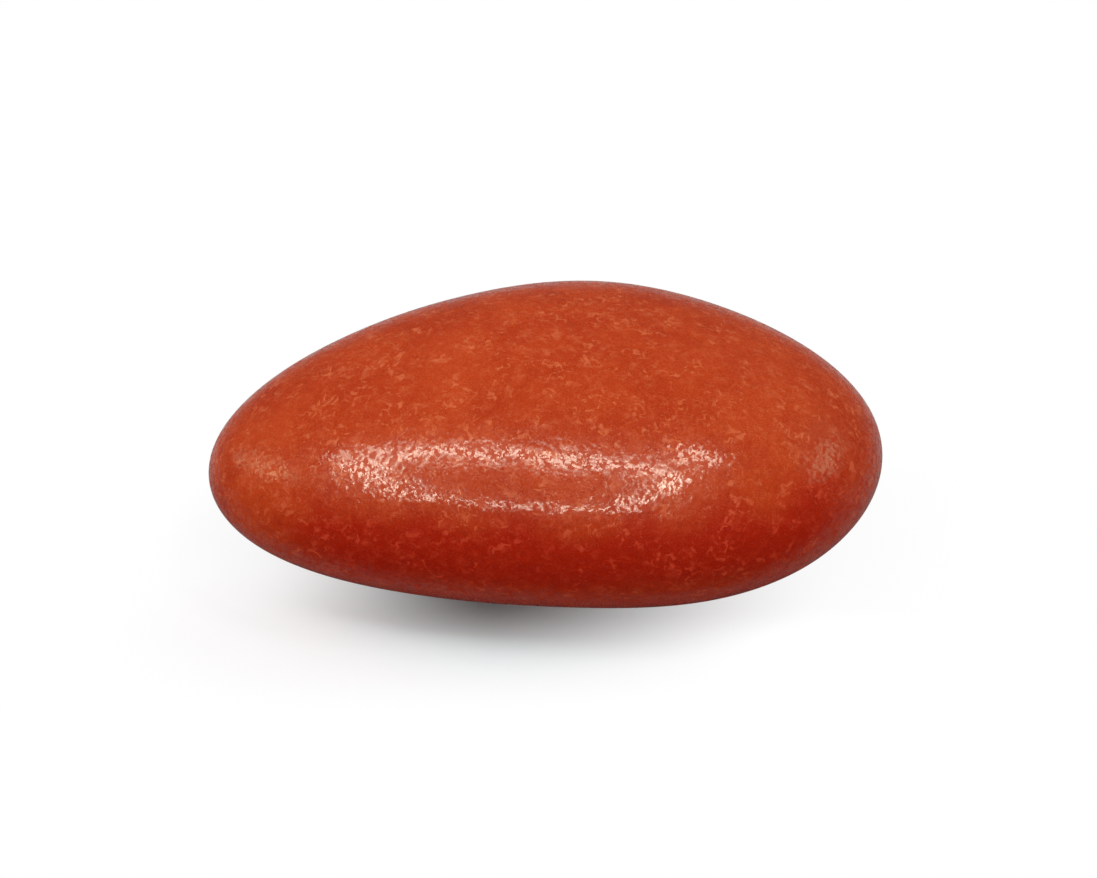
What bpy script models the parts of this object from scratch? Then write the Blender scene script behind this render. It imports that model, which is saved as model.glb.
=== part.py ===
"""Sugared almond: one almond in a smooth shell of coloured sugar, as one solid.

The form follows the nut inside it: a pointed end at -X, a fuller round end at +X, an outline that
bulges more on its +Y side than on its -Y side, and a belly that is a little flatter underneath.
Its origin is the middle of its box, on the surface that it lies on, and +Z is up.
"""

import math

import bmesh
import bpy
from mathutils import Matrix, Vector, noise

MM = 0.001

# Driving dimensions
LENGTH = 28.0 * MM  # pointed end to round end
WIDTH = 16.8 * MM  # across the outline at its widest station
THICKNESS = 11.0 * MM  # through the belly at its thickest station
REST_DEPTH = 0.12 * MM  # how much of the belly the small flat spot under it takes off

# The outline and the belly, as powers of the station. The station runs from -1 at the pointed end
# to +1 at the round end.
OUTLINE_TAPER = (0.185, 0.0, -0.085)  # on station, station^2 and station^3: wider towards +X
BELLY_TAPER = (0.04,)  # thicker towards +X
BOW = (-1.9 * MM, 0.4 * MM, 1.05 * MM)  # on station^2, ^3 and ^4: both ends lie towards -Y
SAG = -0.35 * MM  # on station^2: the ends' mid-height is under the belly's
FULLNESS = 0.01  # how much squarer than an ellipse a section is

# Soft lumps that the sugar dries with
LUMP_HEIGHT = 0.085 * MM
LUMP_SPAN = 7.0 * MM
LUMP_SEED_POINT = Vector((-3.4, 5.6, -15.8))

SEGMENTS = 24  # grid cells along each side of the six-sided ball that the form is made from
SMOOTH_ANGLE = math.radians(40.0)

SHELL_COLOUR = (0.50, 0.056, 0.017, 1.0)
SHELL_ROUGHNESS = 0.3
SHELL_COAT = 0.5


def clear_scene():
    """Removes every object of the scene."""
    for old in list(bpy.data.objects):
        bpy.data.objects.remove(old)


def taper(station, powers):
    """1 + the sum of each power's share, from station^1 upwards."""
    return 1.0 + sum(share * station ** (n + 1) for n, share in enumerate(powers))


def widest(powers, steps=400):
    """The largest value of a tapered dome over all stations."""
    stations = (2.0 * i / steps - 1.0 for i in range(steps + 1))
    return max(math.sqrt(1.0 - s * s) * taper(s, powers) for s in stations)


def lump(point):
    """How far the sugar stands proud at a point of the form."""
    return LUMP_HEIGHT * noise.noise(point / LUMP_SPAN + LUMP_SEED_POINT)


def on_form(unit, outline_max, belly_max):
    """The almond's point for a point of the unit ball."""
    station = unit.x
    ring = math.hypot(unit.y, unit.z)
    across, up = (unit.y / ring, unit.z / ring) if ring > 0.0 else (0.0, 0.0)
    squarer = 1.0 + FULLNESS * (2.0 * across * up) ** 2
    half_width = WIDTH / 2.0 * ring * taper(station, OUTLINE_TAPER) / outline_max
    half_height = THICKNESS / 2.0 * ring * taper(station, BELLY_TAPER) / belly_max
    bow = sum(share * station ** (n + 2) for n, share in enumerate(BOW))
    point = Vector(
        (
            LENGTH / 2.0 * station,
            bow + half_width * across * squarer,
            SAG * station**2 + half_height * up * squarer,
        )
    )
    return point + unit * lump(point)


def even_ball():
    """A six-sided ball of nearly even square cells, as a bmesh with radius 1."""
    ball = bmesh.new()
    bmesh.ops.create_cube(ball, size=2.0)
    bmesh.ops.subdivide_edges(ball, edges=ball.edges[:], cuts=SEGMENTS - 1, use_grid_fill=True)
    for vertex in ball.verts:
        vertex.co = Vector(math.tan(c * math.pi / 4.0) for c in vertex.co).normalized()
    return ball


def flatten_belly(form):
    """Cuts a thin slice off the underside and closes it with one flat face."""
    lowest = min(vertex.co.z for vertex in form.verts)
    cut = bmesh.ops.bisect_plane(
        form,
        geom=form.verts[:] + form.edges[:] + form.faces[:],
        plane_co=(0.0, 0.0, lowest + REST_DEPTH),
        plane_no=(0.0, 0.0, 1.0),
        clear_inner=True,
    )
    rim = [piece for piece in cut["geom_cut"] if isinstance(piece, bmesh.types.BMEdge)]
    bmesh.ops.edgeloop_fill(form, edges=rim)


def stand_on_origin(form):
    """Moves the form so that the middle of its box's underside is the origin."""
    low = Vector(min(vertex.co[axis] for vertex in form.verts) for axis in range(3))
    high = Vector(max(vertex.co[axis] for vertex in form.verts) for axis in range(3))
    middle = (low + high) / 2.0
    shift = Vector((-middle.x, -middle.y, -low.z))
    bmesh.ops.transform(form, matrix=Matrix.Translation(shift), verts=form.verts)


def sugar_material():
    """The polished, coloured sugar."""
    material = bpy.data.materials.new("polished_sugar")
    material.use_nodes = True
    shader = material.node_tree.nodes["Principled BSDF"]
    shader.inputs["Base Color"].default_value = SHELL_COLOUR
    shader.inputs["Roughness"].default_value = SHELL_ROUGHNESS
    shader.inputs["Coat Weight"].default_value = SHELL_COAT
    material.diffuse_color = SHELL_COLOUR
    return material


def make_sugared_almond():
    """The whole sweet: its form, its flat spot and its colour."""
    form = even_ball()
    outline_max = widest(OUTLINE_TAPER)
    belly_max = widest(BELLY_TAPER)
    for vertex in form.verts:
        vertex.co = on_form(vertex.co.copy(), outline_max, belly_max)
    flatten_belly(form)
    stand_on_origin(form)
    bmesh.ops.recalc_face_normals(form, faces=form.faces[:])

    mesh = bpy.data.meshes.new("sugared_almond")
    form.to_mesh(mesh)
    form.free()
    mesh.shade_smooth()
    mesh.set_sharp_from_angle(angle=SMOOTH_ANGLE)
    mesh.materials.append(sugar_material())

    almond = bpy.data.objects.new("sugared_almond", mesh)
    bpy.context.scene.collection.objects.link(almond)
    return almond


clear_scene()
make_sugared_almond()
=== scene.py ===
"""The looks of a sugared almond: its polished orange-red shell, the pale floor, the studio light
and the camera.

Lengths are in metres unless a name says otherwise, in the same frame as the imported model: +X runs
along the sweet from its pointed end to its round end, and +Z is up.
"""

import logging
import math
from collections.abc import Mapping, Sequence
from dataclasses import dataclass
from enum import Enum
from typing import Union

import bmesh
import bpy
from mathutils import Matrix, Vector, noise


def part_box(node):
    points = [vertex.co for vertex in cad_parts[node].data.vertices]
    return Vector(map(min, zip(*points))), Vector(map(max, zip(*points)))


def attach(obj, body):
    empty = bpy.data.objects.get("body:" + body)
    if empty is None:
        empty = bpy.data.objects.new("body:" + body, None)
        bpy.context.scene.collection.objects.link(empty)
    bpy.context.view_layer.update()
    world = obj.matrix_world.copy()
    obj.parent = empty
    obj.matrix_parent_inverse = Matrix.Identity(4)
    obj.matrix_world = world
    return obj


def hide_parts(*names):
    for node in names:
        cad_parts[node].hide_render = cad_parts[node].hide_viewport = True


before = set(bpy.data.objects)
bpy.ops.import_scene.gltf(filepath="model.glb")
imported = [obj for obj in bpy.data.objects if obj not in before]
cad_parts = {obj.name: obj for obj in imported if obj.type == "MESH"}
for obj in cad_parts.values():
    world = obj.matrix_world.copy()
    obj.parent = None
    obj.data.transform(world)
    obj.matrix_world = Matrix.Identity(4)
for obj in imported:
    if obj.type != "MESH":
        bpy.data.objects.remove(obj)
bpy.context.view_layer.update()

LOG = logging.getLogger("sugared_almond")

MM = 0.001
NODE = "sugared_almond"
BODY = "root"
PHOTO_SIZE = (1097, 878)  # pixels

NO_STRETCH = (1.0, 1.0, 1.0)
WHITE = (1.0, 1.0, 1.0)

Colour = tuple[float, float, float]
Point = tuple[float, float, float]
Reach = tuple[float, float]  # where a step starts and where it ends


class MathStep(Enum):
    """The steps of arithmetic that a surface's patterns use."""

    ADD = "ADD"
    SUBTRACT = "SUBTRACT"
    MULTIPLY = "MULTIPLY"
    ABSOLUTE = "ABSOLUTE"
    MINIMUM = "MINIMUM"


class Axis(Enum):
    """The axes that a surface's places are measured along."""

    X = "X"
    Y = "Y"
    Z = "Z"


class Ray(Enum):
    """The kinds of ray that a surface or the sky can tell apart."""

    CAMERA = "Is Camera Ray"
    GLOSSY = "Is Glossy Ray"


class Value:
    """A number that changes over the surface, which Python's operators act on."""

    def __init__(self, graph: "Graph", socket: bpy.types.NodeSocket) -> None:
        """Wraps an output socket of a graph's node."""
        self.graph = graph
        self.socket = socket

    def step(self, kind: MathStep, *terms: Union["Value", float]) -> "Value":
        """Adds one Math node.

        Args:
            kind: the step of arithmetic.
            terms: its terms, in order.

        Returns:
            The node's result.
        """
        made = self.graph.node(
            "ShaderNodeMath", {"operation": kind.value}, dict(enumerate(terms))
        )
        return Value(self.graph, made.outputs[0])

    def __add__(self, other: Union["Value", float]) -> "Value":
        """This value and another together."""
        return self.step(MathStep.ADD, self, other)

    def __sub__(self, other: Union["Value", float]) -> "Value":
        """This value less another."""
        return self.step(MathStep.SUBTRACT, self, other)

    def __mul__(self, other: Union["Value", float]) -> "Value":
        """This value times another."""
        return self.step(MathStep.MULTIPLY, self, other)

    def __abs__(self) -> "Value":
        """This value without its sign."""
        return self.step(MathStep.ABSOLUTE, self)

    def ramp(self, low: float, high: float) -> "Value":
        """A smooth step of this value.

        Args:
            low: the value at which the step starts, where the result is 0.
            high: the value at which it ends, where the result is 1.

        Returns:
            The stepped value, from 0 to 1. With high under low, it falls instead of rising.
        """
        ends = {"From Min": min(low, high), "From Max": max(low, high)}
        steps = {"To Min": float(low > high), "To Max": float(low < high)}
        made = self.graph.node(
            "ShaderNodeMapRange",
            {"interpolation_type": "SMOOTHSTEP"},
            {"Value": self, **ends, **steps},
        )
        return Value(self.graph, made.outputs["Result"])


Feed = Union[Value, bpy.types.NodeSocket, float, Sequence[float]]


class Graph:
    """The nodes of a material or of the sky, made one call at a time."""

    def __init__(self, owner: Union[bpy.types.Material, bpy.types.World]) -> None:
        """Starts with only the owner's shader and its output.

        Args:
            owner: the material or the sky whose nodes these are.
        """
        owner.use_nodes = True
        self.owner = owner
        self.tree = owner.node_tree
        sky = isinstance(owner, bpy.types.World)
        self.shader = self.tree.nodes["Background" if sky else "Principled BSDF"]

    def set(self, name: str, source: Feed) -> None:
        """Gives one of the shader's sockets its value or its link."""
        self.feed(self.shader.inputs[name], source)

    def cover(self, share: Value, above: bpy.types.NodeSocket) -> None:
        """Lays another shader over the material's own.

        Args:
            share: how much of the other shader shows, from 0 to 1.
            above: the other shader's output.
        """
        below = self.shader.outputs["BSDF"]
        made = self.node("ShaderNodeMixShader", {}, {0: share, 1: below, 2: above})
        self.feed(self.tree.nodes["Material Output"].inputs["Surface"], made.outputs["Shader"])

    def feed(self, socket: bpy.types.NodeSocket, source: Feed) -> None:
        """Gives a socket its value or its link.

        Args:
            socket: the input socket.
            source: a number, a colour, a point, a socket or a value over the surface.
        """
        if isinstance(source, Value):
            source = source.socket
        if isinstance(source, bpy.types.NodeSocket):
            self.tree.links.new(source, socket)
        elif socket.type == "RGBA" and len(source) == 3:
            socket.default_value = (*source, 1.0)
        else:
            socket.default_value = source

    def node(
        self,
        kind: str,
        settings: Mapping[str, object],
        sockets: Mapping[Union[str, int], Feed],
    ) -> bpy.types.Node:
        """Adds one node.

        Args:
            kind: the node's type, as Blender names it.
            settings: the node's own properties, which are set first.
            sockets: what each input socket holds, by its name or its place.

        Returns:
            The node.
        """
        made = self.tree.nodes.new(kind)
        for name, setting in settings.items():
            setattr(made, name, setting)
        for name, source in sockets.items():
            self.feed(made.inputs[name], source)
        return made

    def place(self) -> bpy.types.NodeSocket:
        """The surface's own coordinates, in metres."""
        return self.node("ShaderNodeTexCoord", {}, {}).outputs["Object"]

    def along(self, axis: Axis) -> Value:
        """The surface's place along one axis, in metres."""
        axes = self.node("ShaderNodeSeparateXYZ", {}, {"Vector": self.place()})
        return Value(self, axes.outputs[axis.value])

    def ray(self, kind: Ray) -> Value:
        """1 for rays of one kind and 0 for all others."""
        return Value(self, self.node("ShaderNodeLightPath", {}, {}).outputs[kind.value])

    def stretched(self, factors: Sequence[float], shift: Sequence[float]) -> bpy.types.NodeSocket:
        """The surface's own coordinates, stretched and moved.

        Args:
            factors: what each axis is multiplied by.
            shift: what is then added, in metres.

        Returns:
            The new coordinates.
        """
        made = self.node(
            "ShaderNodeVectorMath",
            {"operation": "MULTIPLY_ADD"},
            {0: self.place(), 1: factors, 2: shift},
        )
        return made.outputs["Vector"]

    def cloud(
        self,
        size: float,
        detail: float = 2.0,
        roughness: float = 0.5,
        distortion: float = 0.0,
        at: Union[bpy.types.NodeSocket, None] = None,
    ) -> Value:
        """Soft noise over the surface.

        Args:
            size: how far apart its blobs lie, in metres.
            detail: how many finer layers it has.
            roughness: how strong each finer layer is.
            distortion: how much its blobs are bent.
            at: the coordinates, or None for the surface's own.

        Returns:
            The noise, from 0 to 1 round 0.5.
        """
        made = self.node(
            "ShaderNodeTexNoise",
            {"noise_dimensions": "3D"},
            {
                "Vector": self.place() if at is None else at,
                "Scale": 1.0 / size,
                "Detail": detail,
                "Roughness": roughness,
                "Distortion": distortion,
            },
        )
        return Value(self, made.outputs["Fac"])

    def blend(self, share: Value, below: Feed, above: Feed) -> bpy.types.NodeSocket:
        """One colour laid over another.

        Args:
            share: how much of the colour above shows, from 0 to 1.
            below: the colour where the share is 0.
            above: the colour where the share is 1.

        Returns:
            The mixed colour.
        """
        made = self.tree.nodes.new("ShaderNodeMix")
        made.data_type = "RGBA"
        factor, first, second = (made.inputs[i] for i in (0, 6, 7))
        self.feed(factor, share)
        self.feed(first, below)
        self.feed(second, above)
        return made.outputs[2]


@dataclass(frozen=True)
class PolishedSugar:
    """Coloured sugar, rolled smooth and polished with wax. Its crystals still show as a fine grain.
    A reach or an edge says between which values a pattern fades in, or out where it falls."""

    red: Colour = (0.450, 0.039, 0.006)
    orange: Colour = (0.505, 0.053, 0.009)
    # Painted shade: the deeper, darker red laid on the lower flank below the crown.
    waist_shade: Colour = (0.405, 0.013, 0.002)
    pale: Colour = (0.70, 0.165, 0.062)
    deep: Colour = (0.34, 0.020, 0.003)
    # Painted shade: darker, redder copies of the pale and deep flecks, for the lower flank.
    shaded_waist_pale: Colour = (0.72, 0.086, 0.036)
    shaded_waist_deep: Colour = (0.27, 0.007, 0.002)
    blotch_size: float = 2.6 * MM
    blotch_edge: Reach = (0.35, 0.65)
    mottle_size: float = 0.50 * MM
    mottle_bend: float = 0.4
    mottle_pale: Reach = (0.50, 0.80)
    mottle_deep: Reach = (0.50, 0.20)
    cluster_size: float = 1.1 * MM
    cluster_edge: Reach = (0.38, 0.64)
    fleck_size: float = 0.35 * MM
    fleck_bend: float = 1.1
    fleck_edge: Reach = (0.53, 0.66)
    stroke_size: float = 0.46 * MM
    stroke_bend: float = 0.4
    stroke_slant: Point = (1.0, 1.15, 0.9)
    stroke_shift: Point = (0.31, 0.12, 0.23)
    stroke_edge: Reach = (0.06, 0.0)
    break_share: float = 0.8
    break_shift: Point = (0.3, 0.1, 0.2)
    break_edge: Reach = (0.50, 0.64)
    speckle_size: float = 0.13 * MM
    speckle_pale: Reach = (0.52, 0.78)
    speckle_deep: Reach = (0.48, 0.22)
    # Where the painted shade of the lower flank lies, and how much of it shows.
    waist_reach: tuple[float, float, float, float] = (0.0030, 0.0052, 0.0063, 0.0081)
    waist_tilt: float = 0.04
    waist_middle: tuple[float, float] = (0.0008, 0.0057)
    waist_ends: Reach = (0.0097, 0.0142)
    waist_share: float = 0.95
    mottle_share: float = 0.36
    fleck_share: float = 0.64
    stroke_share: float = 0.20
    speckle_share: float = 0.15
    grain_size: float = 0.26 * MM
    grain_height: float = 0.0135 * MM
    ripple_size: float = 1.2 * MM
    ripple_height: float = 0.036 * MM
    gloss: float = 0.10
    pore_size: float = 0.06 * MM
    pore_reach: Reach = (0.52, 0.59)
    pore_gloss: float = 0.18
    pit_size: float = 0.21 * MM
    pit_bend: float = 0.5
    pit_reach: Reach = (0.505, 0.535)
    pit_gloss: float = 0.33
    pit_shine: float = 0.12
    shine: Colour = (1.0, 0.98, 0.80)

    def strokes(self, graph: Graph) -> Value:
        """Short curled strokes, as the sugar's crystals leave them.

        Args:
            graph: the material's nodes.

        Returns:
            How much of a stroke each point holds, from 0 to 1.
        """
        aslant = graph.stretched(self.stroke_slant, self.stroke_shift)
        lines = abs(graph.cloud(self.stroke_size, 1.0, 0.5, self.stroke_bend, at=aslant) - 0.5)
        shifted = graph.stretched(NO_STRETCH, self.break_shift)
        breaks = graph.cloud(self.stroke_size * self.break_share, 1.0, at=shifted)
        return lines.ramp(*self.stroke_edge) * breaks.ramp(*self.break_edge)

    def flecks(self, graph: Graph) -> Value:
        """Small pale flecks, which gather in clusters.

        Args:
            graph: the material's nodes.

        Returns:
            How much of a fleck each point holds, from 0 to 1.
        """
        spots = graph.cloud(self.fleck_size, 2.0, 0.5, self.fleck_bend)
        clusters = graph.cloud(self.cluster_size, 2.0, 0.6)
        return spots.ramp(*self.fleck_edge) * clusters.ramp(*self.cluster_edge)

    def painted_waist_shade(self, graph: Graph) -> Value:
        """Painted shade: a deeper, darker red below the crown, with an uneven edge.

        Args:
            graph: the material's nodes.

        Returns:
            How much of the painted shade each point holds, from 0 to 1.
        """
        under, low, high, over = self.waist_reach
        start, end = self.waist_ends
        shaken = (graph.cloud(self.blotch_size, 2.0) - 0.5) * (over - high)
        along, height = graph.along(Axis.X), graph.along(Axis.Z)
        middle_along, middle_height = self.waist_middle
        aside = abs(along - middle_along) + abs(height - middle_height) + shaken
        height = height - along * self.waist_tilt + shaken
        return height.ramp(under, low) * height.ramp(over, high) * aside.ramp(end, start)

    def colour(self, graph: Graph) -> bpy.types.NodeSocket:
        """The sugar's colour, with painted shade on its lower flank.

        Args:
            graph: the material's nodes.

        Returns:
            The colour over the surface.
        """
        blotches = graph.cloud(self.blotch_size, 3.0, 0.55)
        mottle = graph.cloud(self.mottle_size, 3.0, 0.6, self.mottle_bend)
        speckle = graph.cloud(self.speckle_size, 1.0, 0.6)
        colour = graph.blend(blotches.ramp(*self.blotch_edge), self.red, self.orange)
        # Painted shade: below the crown the colour and its flecks turn deeper and darker red.
        waist_shade = self.painted_waist_shade(graph)
        colour = graph.blend(waist_shade * self.waist_share, colour, self.waist_shade)
        pale = graph.blend(waist_shade, self.pale, self.shaded_waist_pale)
        deep = graph.blend(waist_shade, self.deep, self.shaded_waist_deep)
        layers = (
            (mottle.ramp(*self.mottle_pale) * self.mottle_share, pale),
            (mottle.ramp(*self.mottle_deep) * self.mottle_share, deep),
            (self.flecks(graph) * self.fleck_share, pale),
            (self.strokes(graph) * self.stroke_share, pale),
            (speckle.ramp(*self.speckle_pale) * self.speckle_share, pale),
            (speckle.ramp(*self.speckle_deep) * self.speckle_share, deep),
        )
        for share, above in layers:
            colour = graph.blend(share, colour, above)
        return colour

    def material(self) -> bpy.types.Material:
        """The finished material.

        Returns:
            A material that draws its colour, its gloss and its grain from nodes.
        """
        graph = Graph(bpy.data.materials.new("polished_sugar"))
        grain = graph.cloud(self.grain_size, 1.0, 0.6)
        ripple = graph.cloud(self.ripple_size, 1.0, 0.5)
        height = grain * self.grain_height + ripple * self.ripple_height
        bump = graph.node(
            "ShaderNodeBump", {}, {"Strength": 1.0, "Distance": 1.0, "Height": height}
        )
        shared = {
            "Base Color": self.colour(graph),
            "Normal": bump.outputs["Normal"],
            "Specular Tint": self.shine,
        }
        pores = graph.cloud(self.pore_size, 1.0).ramp(*self.pore_reach)
        for name, source in shared.items():
            graph.set(name, source)
        graph.set("Roughness", pores * self.pore_gloss + self.gloss)
        dull = {"Roughness": self.pit_gloss, "Specular IOR Level": self.pit_shine}
        pitted = graph.node("ShaderNodeBsdfPrincipled", {}, {**shared, **dull})
        pits = graph.cloud(self.pit_size, 2.0, 0.6, self.pit_bend).ramp(*self.pit_reach)
        graph.cover(pits, pitted.outputs["BSDF"])
        return graph.owner


@dataclass
class SugarShell:
    """The whole sweet. Its lengths are shares of half of the sweet's length."""

    half_width: float = 0.6
    half_thickness: float = 0.39286
    rest_depth: float = 0.00857
    outline_taper: tuple[float, ...] = (0.185, 0.0, -0.085)
    belly_taper: tuple[float, ...] = (0.04,)
    bow: tuple[float, ...] = (-0.13571, 0.02857, 0.075)
    sag: float = -0.025
    fullness: float = 0.01
    lump_height: float = 0.00607
    lump_span: float = 0.5
    lump_seed_point: Point = (-3.4, 5.6, -15.8)
    segments: int = 126
    finish: PolishedSugar = PolishedSugar()

    @staticmethod
    def taper(station: float, powers: Sequence[float]) -> float:
        """How much wider or thicker the almond is at a station.

        Args:
            station: the place along the almond, from -1 at its pointed end to +1 at its round end.
            powers: the share of each power of the station, from the first upwards.

        Returns:
            1 + the sum of each power's share.
        """
        return 1.0 + sum(share * station ** (n + 1) for n, share in enumerate(powers))

    def widest(self, powers: Sequence[float], steps: int = 400) -> float:
        """The largest value of a tapered dome.

        Args:
            powers: the taper's shares.
            steps: how many stretches are tried.

        Returns:
            The largest value over all stations.
        """
        stations = (2.0 * i / steps - 1.0 for i in range(steps + 1))
        return max(math.sqrt(1.0 - s * s) * self.taper(s, powers) for s in stations)

    def lump(self, point: Vector) -> float:
        """How far the sugar stands proud at a point of the form."""
        seed = Vector(self.lump_seed_point)
        return self.lump_height * noise.noise(point / self.lump_span + seed)

    def on_form(self, unit: Vector, outline_max: float, belly_max: float) -> Vector:
        """The almond's point for a point of the unit ball.

        Args:
            unit: the point of the ball.
            outline_max: the largest value of the outline's tapered dome.
            belly_max: the largest value of the belly's.

        Returns:
            The point, in shares of half of the almond's length.
        """
        station = unit.x
        ring = math.hypot(unit.y, unit.z)
        across, up = (unit.y / ring, unit.z / ring) if ring > 0.0 else (0.0, 0.0)
        squarer = 1.0 + self.fullness * (2.0 * across * up) ** 2
        wide = self.half_width * ring * self.taper(station, self.outline_taper) / outline_max
        high = self.half_thickness * ring * self.taper(station, self.belly_taper) / belly_max
        bow = sum(share * station ** (n + 2) for n, share in enumerate(self.bow))
        middle = self.sag * station**2
        point = Vector((station, bow + wide * across * squarer, middle + high * up * squarer))
        return point + unit * self.lump(point)

    def even_ball(self) -> bmesh.types.BMesh:
        """A six-sided ball of nearly even square cells.

        Returns:
            The ball, with radius 1.
        """
        ball = bmesh.new()
        bmesh.ops.create_cube(ball, size=2.0)
        cuts = self.segments - 1
        bmesh.ops.subdivide_edges(ball, edges=ball.edges[:], cuts=cuts, use_grid_fill=True)
        for vertex in ball.verts:
            vertex.co = Vector(math.tan(c * math.pi / 4.0) for c in vertex.co).normalized()
        return ball

    def flatten_belly(self, form: bmesh.types.BMesh) -> None:
        """Cuts a thin slice off the underside and closes it with one flat face.

        Args:
            form: the almond, which is changed.
        """
        lowest = min(vertex.co.z for vertex in form.verts)
        cut = bmesh.ops.bisect_plane(
            form,
            geom=form.verts[:] + form.edges[:] + form.faces[:],
            plane_co=(0.0, 0.0, lowest + self.rest_depth),
            plane_no=(0.0, 0.0, 1.0),
            clear_inner=True,
        )
        rim = [piece for piece in cut["geom_cut"] if isinstance(piece, bmesh.types.BMEdge)]
        bmesh.ops.edgeloop_fill(form, edges=rim)

    @staticmethod
    def fit_to(form: bmesh.types.BMesh, low: Vector, high: Vector) -> None:
        """Sizes and places the form, so that it fills a box.

        Args:
            form: the almond, which is changed.
            low: the box's lowest corner.
            high: its highest corner.
        """
        form_low = Vector(min(v.co[axis] for v in form.verts) for axis in range(3))
        form_high = Vector(max(v.co[axis] for v in form.verts) for axis in range(3))
        scale = [(high[i] - low[i]) / (form_high[i] - form_low[i]) for i in range(3)]
        to_box = Matrix.Translation(low) @ Matrix.Diagonal((*scale, 1.0))
        to_box = to_box @ Matrix.Translation(-form_low)
        bmesh.ops.transform(form, matrix=to_box, verts=form.verts)

    def build(self) -> bpy.types.Object:
        """Makes the sweet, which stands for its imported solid.

        Returns:
            The sweet's object.
        """
        form = self.even_ball()
        outline_max = self.widest(self.outline_taper)
        belly_max = self.widest(self.belly_taper)
        for vertex in form.verts:
            vertex.co = self.on_form(vertex.co.copy(), outline_max, belly_max)
        self.flatten_belly(form)
        self.fit_to(form, *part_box(NODE))
        bmesh.ops.recalc_face_normals(form, faces=form.faces[:])
        mesh = bpy.data.meshes.new("sugar_shell")
        form.to_mesh(mesh)
        form.free()
        mesh.shade_smooth()
        shell = bpy.data.objects.new("sugar_shell", mesh)
        bpy.context.scene.collection.objects.link(shell)
        self.dress(shell)
        return shell

    def dress(self, shell: bpy.types.Object) -> None:
        """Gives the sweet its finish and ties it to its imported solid.

        Args:
            shell: the sweet's object.
        """
        shell.data.materials.append(self.finish.material())
        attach(shell, BODY)
        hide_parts(NODE)
        LOG.info("%s: %d faces", shell.name, len(shell.data.polygons))


@dataclass(frozen=True)
class Glow:
    """A soft glow of the floor, which rises from one place to another along X and along Y."""

    aside: Reach
    ahead: Reach
    share: float

    def over(self, graph: Graph) -> Value:
        """How much of the glow each point of the floor holds."""
        risen = graph.along(Axis.X).ramp(*self.aside) * graph.along(Axis.Y).ramp(*self.ahead)
        return risen * self.share


@dataclass
class Floor:
    """The plain pale surface that the sweet lies on."""

    side: float = 8.0
    seen: Colour = (0.98, 0.985, 0.99)
    # Painted light: near the sweet the floor is a little cyan, cancelling the red light the sweet
    # throws into its shadow.
    painted_shadow_tint: Colour = (0.82, 0.985, 0.99)
    close_reach: Reach = (0.006, 0.012)
    glows: tuple[Glow, ...] = (
        Glow((-0.0030, 0.0122), (-0.0118, -0.0057), 0.94),
        Glow((-0.0019, -0.0126), (-0.0101, -0.0010), 0.86),
    )
    far_reach: Reach = (0.0041, 0.0125)
    far_share: float = 1.14
    lit: Colour = (0.45, 0.165, 0.09)
    mirrored_ahead: Colour = (0.06, 0.06, 0.06)
    mirrored_under: Colour = (0.26, 0.26, 0.26)
    mirrored_behind: Colour = (0.42, 0.42, 0.42)
    mirrored_far: Colour = (0.16, 0.16, 0.16)
    ahead_reach: Reach = (-0.010, -0.006)
    behind_reach: Reach = (-0.003, 0.012)
    away_reach: Reach = (0.018, 0.068)

    def build(self) -> bpy.types.Object:
        """Makes the floor, which isn't part of the object.

        Returns:
            The floor's object.
        """
        half = self.side / 2.0
        corners = [(-half, -half, 0.0), (half, -half, 0.0), (half, half, 0.0), (-half, half, 0.0)]
        mesh = bpy.data.meshes.new("floor")
        mesh.from_pydata(corners, [], [(0, 1, 2, 3)])
        mesh.materials.append(self.material())
        floor = bpy.data.objects.new("floor", mesh)
        bpy.context.scene.collection.objects.link(floor)
        LOG.info("%s: %.1f m square", floor.name, self.side)
        return floor

    def material(self) -> bpy.types.Material:
        """The floor's finish: plain white to look at, dimmer in what it throws back on the sweet.
        Near the sweet it is painted a little cyan, which keeps its shadow grey against the sweet's
        red light.
        It glows softly towards both ends and farther out, which thins the shadow there.

        Returns:
            The material.
        """
        graph = Graph(bpy.data.materials.new("pale_floor"))
        camera_ray, glossy_ray = graph.ray(Ray.CAMERA), graph.ray(Ray.GLOSSY)
        length = graph.node("ShaderNodeVectorMath", {"operation": "LENGTH"}, {0: graph.place()})
        distance = Value(graph, length.outputs["Value"])
        across = graph.along(Axis.Y)
        away = distance.ramp(*self.away_reach)
        mirrored = graph.blend(away, self.mirrored_behind, self.mirrored_far)
        behind, under = across.ramp(*self.behind_reach), across.ramp(*self.ahead_reach)
        mirrored = graph.blend(behind, self.mirrored_under, mirrored)
        mirrored = graph.blend(under, self.mirrored_ahead, mirrored)
        # Painted light: the cyan near the sweet cancels the red that the sweet throws into its
        # shadow.
        seen = graph.blend(distance.ramp(*self.close_reach), self.painted_shadow_tint, self.seen)
        colour = graph.blend(camera_ray, self.lit, seen)
        graph.set("Base Color", graph.blend(glossy_ray, colour, mirrored))
        graph.set("Roughness", 1.0)
        graph.set("Specular IOR Level", 0.0)
        filled = abs(across).ramp(*self.far_reach) * self.far_share
        for glow in self.glows:
            filled = filled + glow.over(graph)
        filled = filled.step(MathStep.MINIMUM, filled, 1.0)
        white = graph.node("ShaderNodeEmission", {}, {"Color": WHITE, "Strength": 1.0})
        graph.cover(filled * camera_ray, white.outputs["Emission"])
        return graph.owner


class PanelShape(Enum):
    """The outlines that a light has."""

    RECTANGLE = "RECTANGLE"
    ELLIPSE = "ELLIPSE"


class Role(Enum):
    """What a light is for."""

    ALL = "light and glints"
    GLINTS = "glints only"


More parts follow.
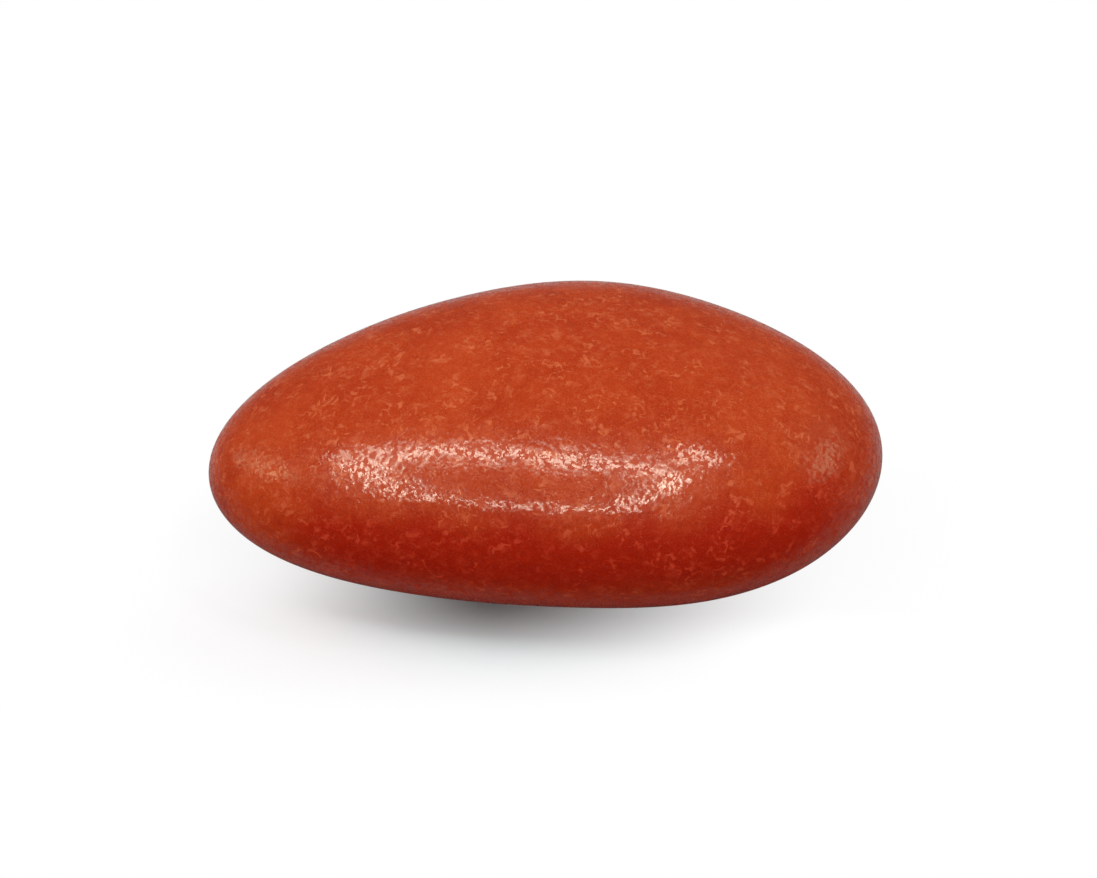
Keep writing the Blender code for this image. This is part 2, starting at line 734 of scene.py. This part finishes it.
@dataclass
class Panel:
    """One flat light of even brightness."""

    name: str
    place: Vector
    facing: Vector
    wide: float
    deep: float
    radiance: float
    along: Vector
    colour: Colour = WHITE
    shape: PanelShape = PanelShape.RECTANGLE
    role: Role = Role.ALL

    def build(self) -> bpy.types.Object:
        """Makes the light.

        Returns:
            The light's object.
        """
        light = bpy.data.lights.new(self.name, "AREA")
        light.shape = self.shape.value
        light.size = self.wide
        light.size_y = self.deep
        filled = math.pi / 4.0 if self.shape is PanelShape.ELLIPSE else 1.0
        light.energy = self.radiance * math.pi * self.wide * self.deep * filled
        light.color = self.colour
        back = -self.facing.normalized()
        across = (self.along - back * self.along.dot(back)).normalized()
        up = back.cross(across)
        turn = Matrix((across, up, back)).transposed().to_4x4()
        panel = bpy.data.objects.new(self.name, light)
        panel.matrix_world = Matrix.Translation(self.place) @ turn
        panel.visible_camera = False
        panel.visible_diffuse = self.role is not Role.GLINTS
        bpy.context.scene.collection.objects.link(panel)
        return panel


@dataclass
class Strip:
    """One bright strip of the lamp frame overhead, in its plane. Its light comes from a wider,
    softer strip, and a narrower one a little under it, by the drop, adds to its glints."""

    name: str
    start: tuple[float, float]
    end: tuple[float, float]
    width: float
    radiance: float
    glint: float
    glint_width: float
    softness: float = 2.5
    drop: float = 0.006

    def panels(self, level: Vector) -> list[Panel]:
        """The strip as a light, and as a second one that shows only in the sugar's gloss.

        Args:
            level: the point of the frame's plane from which the strip's ends are measured.

        Returns:
            The lights, not yet made.
        """
        start, end = (level + Vector((*corner, 0.0)) for corner in (self.start, self.end))
        along = end - start
        down = Vector((0.0, 0.0, -1.0))
        place = (start + end) / 2.0
        under = place + down * self.drop
        long, soft_width = along.length, self.width * self.softness
        radiance, name = self.radiance / self.softness, f"{self.name}_glint"
        lamp = Panel(self.name, place, down, long, soft_width, radiance, along)
        glint = Panel(name, under, down, long, self.glint_width, self.glint, along)
        glint.role = Role.GLINTS
        return [lamp, glint]


@dataclass(frozen=True)
class EndPanel:
    """One soft panel beyond an end of the sweet. Its place is given by two angles, in degrees: from
    +X towards +Y, and above the floor."""

    azimuth: float
    elevation: float
    wide: float
    deep: float
    radiance: float
    role: Role = Role.ALL


@dataclass
class Studio:
    """The light: a frame of bright strips overhead, in front, and a soft panel at each end. Places
    are measured from the middle of the sweet."""

    frame_height: float = 1.0
    strips: tuple[Strip, ...] = (
        Strip("back_strip_left", (-0.630, -0.347), (-0.272, -0.218), 0.125, 10.0, 11.2, 0.106),
        Strip("back_strip", (-0.272, -0.218), (0.287, -0.395), 0.125, 9.6, 11.2, 0.106),
        Strip("right_strip", (0.287, -0.395), (0.059, -1.407), 0.090, 6.9, 20.3, 0.077),
        Strip("front_strip", (0.059, -1.407), (-0.747, -1.457), 0.070, 9.9, 11.2, 0.167),
        Strip("left_strip", (-0.747, -1.457), (-0.630, -0.347), 0.110, 8.3, 16.4, 0.094),
        Strip("right_corner", (0.264, -0.120), (0.464, -0.120), 0.2, 9.8, 2.5, 0.2, 1.0, 0.012),
        Strip("left_corner", (-0.756, -0.156), (-0.516, -0.156), 0.2, 5.4, 2.5, 0.2, 1.0, 0.012),
    )
    ends: tuple[EndPanel, ...] = (
        EndPanel(17.0, 24.5, 1.10, 0.80, 0.35),
        EndPanel(17.0, 24.0, 0.62, 0.42, 1.10),
        EndPanel(19.0, 24.5, 0.36, 0.26, 0.60, Role.GLINTS),
        EndPanel(6.0, 21.0, 0.56, 0.40, 0.90, Role.GLINTS),
        EndPanel(155.0, 15.0, 0.40, 0.34, 1.10, Role.GLINTS),
        EndPanel(164.0, 24.0, 0.50, 0.34, 1.20),
        EndPanel(180.0, 31.0, 0.66, 0.44, 2.20, Role.GLINTS),
        EndPanel(192.0, 34.0, 0.60, 0.32, 1.80, Role.GLINTS),
    )
    ends_colour: Colour = (1.0, 0.95, 0.66)
    reach: float = 1.5
    sky: Colour = (0.34, 0.34, 0.34)
    sky_behind: Colour = (0.80, 0.80, 0.80)
    sky_seen: Colour = (1.0, 1.0, 1.0)
    sky_mirrored: Colour = (0.06, 0.06, 0.06)
    sky_reach: Reach = (-0.3, 0.8)

    def toward(self, azimuth: float, elevation: float) -> Vector:
        """A direction out of the sweet.

        Args:
            azimuth: the angle from +X towards +Y, in degrees.
            elevation: the angle above the floor, in degrees.

        Returns:
            The direction, with length 1.
        """
        turn, rise = math.radians(azimuth), math.radians(elevation)
        level = math.cos(rise)
        return Vector((math.cos(turn) * level, math.sin(turn) * level, math.sin(rise)))

    def around(self, middle: Vector) -> list[Panel]:
        """The soft panels at the ends.

        Args:
            middle: the middle of the sweet.

        Returns:
            The lights, not yet made.
        """
        made = []
        for i, end in enumerate(self.ends):
            out = self.toward(end.azimuth, end.elevation)
            level = out.cross(Vector((0.0, 0.0, 1.0)))
            place = middle + out * self.reach
            panel = Panel(f"end_{i}", place, -out, end.wide, end.deep, end.radiance, level)
            panel.colour = self.ends_colour
            panel.shape = PanelShape.ELLIPSE
            panel.role = end.role
            made.append(panel)
        return made

    def build(self, middle: Vector) -> None:
        """Makes every light and the sky.

        Args:
            middle: the middle of the sweet.
        """
        level = middle + Vector((0.0, 0.0, self.frame_height))
        panels = [panel for strip in self.strips for panel in strip.panels(level)]
        panels += self.around(middle)
        for panel in panels:
            panel.build()
        bpy.context.scene.world = self.backdrop()
        LOG.info("studio: %d lights", len(panels))

    def backdrop(self) -> bpy.types.World:
        """The sky: white to look at, soft in the light that it gives, dim in reflections.

        Returns:
            The world.
        """
        graph = Graph(bpy.data.worlds.new("studio_sky"))
        camera_ray, glossy_ray = graph.ray(Ray.CAMERA), graph.ray(Ray.GLOSSY)
        behind = graph.along(Axis.Y).ramp(*self.sky_reach)
        colour = graph.blend(behind, self.sky, self.sky_behind)
        colour = graph.blend(camera_ray, colour, self.sky_seen)
        graph.set("Color", graph.blend(glossy_ray, colour, self.sky_mirrored))
        return graph.owner


@dataclass
class ProductCamera:
    """The camera, at the photograph's place."""

    azimuth: float = math.radians(-1.076)
    elevation: float = math.radians(38.0)
    distance: float = 0.250
    target_height: float = 0.00538
    pixels_per_metre: float = 24037.0
    target_pixel: tuple[float, float] = (545.75, 443.57)
    sensor: float = 36.0
    nearest: float = 0.01

    def build(self) -> bpy.types.Object:
        """Makes the camera and gives it to the scene.

        Returns:
            The camera's object.
        """
        level = math.cos(self.elevation)
        back = Vector(
            (
                math.sin(self.azimuth) * level,
                -math.cos(self.azimuth) * level,
                math.sin(self.elevation),
            )
        )
        right = Vector((math.cos(self.azimuth), math.sin(self.azimuth), 0.0))
        up = back.cross(right)
        aside = (PHOTO_SIZE[0] / 2.0 - self.target_pixel[0]) / self.pixels_per_metre
        above = (self.target_pixel[1] - PHOTO_SIZE[1] / 2.0) / self.pixels_per_metre
        target = Vector((0.0, 0.0, self.target_height))
        place = target + back * self.distance + right * aside + up * above
        lens = bpy.data.cameras.new("product_camera")
        lens.sensor_width = self.sensor
        lens.lens = self.pixels_per_metre * self.distance / PHOTO_SIZE[0] * self.sensor
        lens.clip_start = self.nearest
        camera = bpy.data.objects.new("product_camera", lens)
        turn = Matrix((right, up, back)).transposed().to_4x4()
        camera.matrix_world = Matrix.Translation(place) @ turn
        bpy.context.scene.collection.objects.link(camera)
        bpy.context.scene.camera = camera
        LOG.info("camera: %.1f mm lens", lens.lens)
        return camera


def main() -> None:
    """Builds the sweet and what it is shown in."""
    logging.basicConfig(level=logging.INFO, format="%(name)s: %(message)s")
    low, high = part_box(NODE)
    SugarShell().build()
    Floor().build()
    Studio().build((low + high) / 2.0)
    ProductCamera().build()
    bpy.context.scene.view_settings.view_transform = "Standard"


if __name__ == "__main__":
    main()
